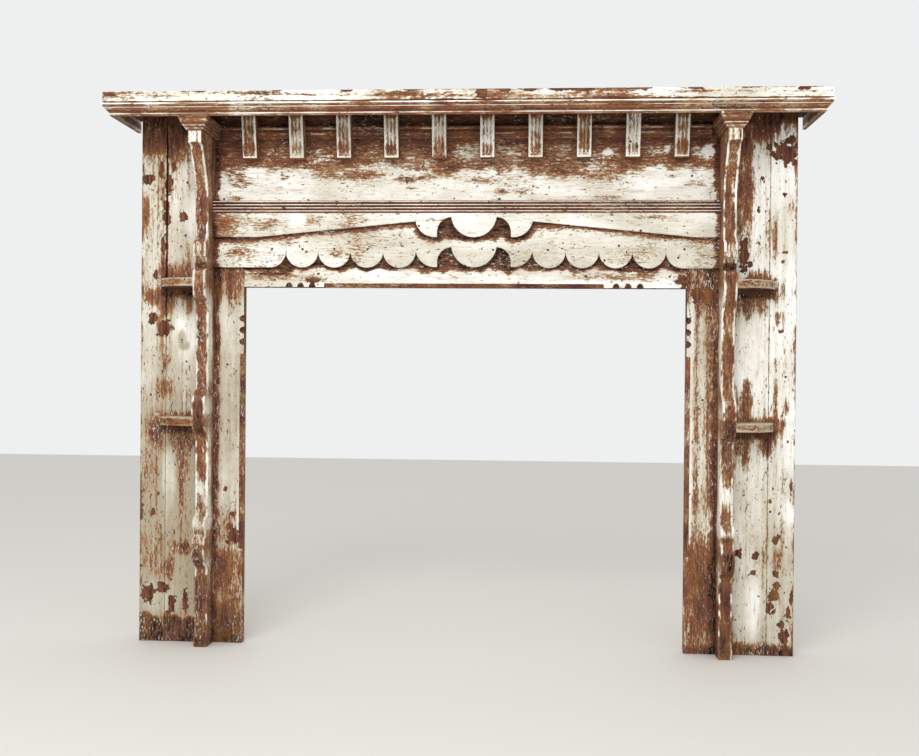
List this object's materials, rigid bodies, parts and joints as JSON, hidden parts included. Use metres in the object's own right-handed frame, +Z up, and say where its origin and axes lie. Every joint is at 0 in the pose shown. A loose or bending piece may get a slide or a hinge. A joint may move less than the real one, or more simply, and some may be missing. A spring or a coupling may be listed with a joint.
{
  "type": "fireplace mantelpiece",
  "caption": "Painted softwood fireplace mantelpiece with a moulded shelf, bracket dentils, scalloped frets, fluted console pilasters and quarter-round corner shelves.",
  "frame": {"origin": "on the floor, below the middle of the overall outline", "axes": "+X along the shelf to the viewer's right, +Y back into the wall, +Z up"},
  "size_m": [1.774, 0.2164, 1.389],
  "materials": {
    "board_paint": "worn off-white paint brushed along the grain, red-brown undercoat in the recesses",
    "leg_paint": "worn off-white paint with vertical streaks and sharp chips down to brown undercoat and pine",
    "shelf_paint": "worn cream paint, rubbed through along the edges",
    "moulding_paint": "brown undercoat with cream paint left on the arrises",
    "pilaster_paint": "cream arrises, rubbed brown flutes",
    "dentil_paint": "cream edges, brown flutes",
    "corner_shelf_paint": "thin cream paint over brown undercoat",
    "recess_paint": "purple-brown undercoat, little paint left",
    "bare_back": "unpainted aged softwood with drips of old paint"
  },
  "bodies": {
    "root": {"shelf_board": "shelf_paint", "shelf_moulding_front": "moulding_paint", "shelf_moulding_left": "moulding_paint", "shelf_moulding_right": "moulding_paint", "frieze_board": "board_paint", "lintel_board": "board_paint", "inner_stile_left": "leg_paint", "panel_inner_left": "leg_paint", "panel_outer_left": "leg_paint", "side_return_left": "bare_back", "pilaster_left": "pilaster_paint", "capital_front_left": "moulding_paint", "capital_inner_left": "moulding_paint", "capital_outer_left": "moulding_paint", "corner_shelf_upper_left": "corner_shelf_paint", "corner_shelf_lower_left": "corner_shelf_paint", "inner_stile_right": "leg_paint", "panel_inner_right": "leg_paint", "panel_outer_right": "leg_paint", "side_return_right": "bare_back", "pilaster_right": "pilaster_paint", "capital_front_right": "moulding_paint", "capital_inner_right": "moulding_paint", "capital_outer_right": "moulding_paint", "corner_shelf_upper_right": "corner_shelf_paint", "corner_shelf_lower_right": "corner_shelf_paint", "bed_moulding": "recess_paint", "dentil_01": "dentil_paint", "dentil_02": "dentil_paint", "dentil_03": "dentil_paint", "dentil_04": "dentil_paint", "dentil_05": "dentil_paint", "dentil_06": "dentil_paint", "dentil_07": "dentil_paint", "dentil_08": "dentil_paint", "dentil_09": "dentil_paint", "dentil_10": "dentil_paint", "reeded_band": "moulding_paint", "upper_fret": "board_paint", "lower_fret": "board_paint"}
  },
  "joints": []
}
